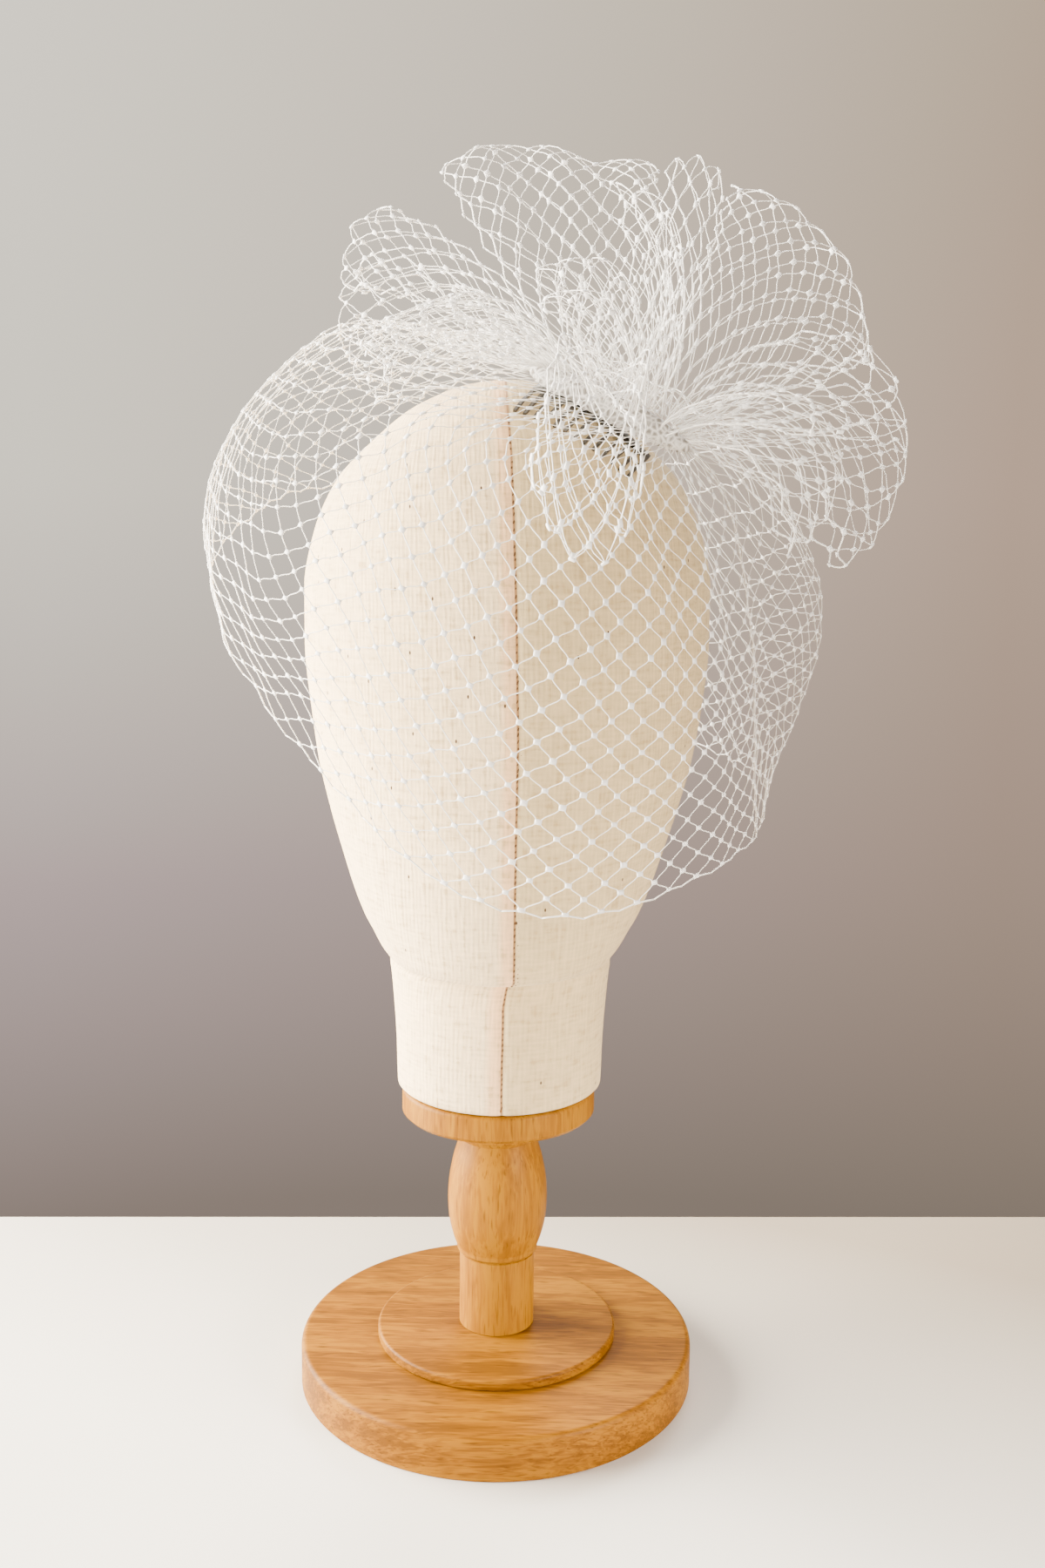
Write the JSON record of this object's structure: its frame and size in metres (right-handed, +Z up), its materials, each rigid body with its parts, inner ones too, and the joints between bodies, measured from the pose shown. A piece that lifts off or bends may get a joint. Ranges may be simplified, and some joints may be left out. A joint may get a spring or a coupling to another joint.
{
  "type": "bridal veil on head form stand",
  "caption": "Short birdcage bridal veil of diamond netting with a looped net pouf on a comb, resting on a linen head form with a turned wooden stand.",
  "frame": {"origin": "centre of the flat underside of the stand's base", "axes": "+Z up through the head form, -Y towards the face side of the head form, +X to the right seen from the front"},
  "size_m": [0.2758, 0.253, 0.5131],
  "materials": {
    "wood": "honey coloured clear lacquer, satin",
    "linen": "plain woven natural linen, matte",
    "metal": "dark wire, satin",
    "net_core": "gathered and stitched white nylon net",
    "net": "white nylon diamond netting, slight sheen"
  },
  "bodies": {
    "root": {"stand_base": "wood", "stand_plinth": "wood", "stand_post": "wood", "stand_collar": "wood", "head_form": "linen", "comb": "metal", "gather_core": "net_core", "veil_net": "net", "loop_left_rear": "net", "loop_left_front": "net", "loop_centre": "net", "loop_rosette": "net", "loop_right_top": "net", "loop_right_fan": "net", "loop_right_mid": "net", "loop_right_low": "net", "loop_brow": "net"}
  },
  "joints": []
}
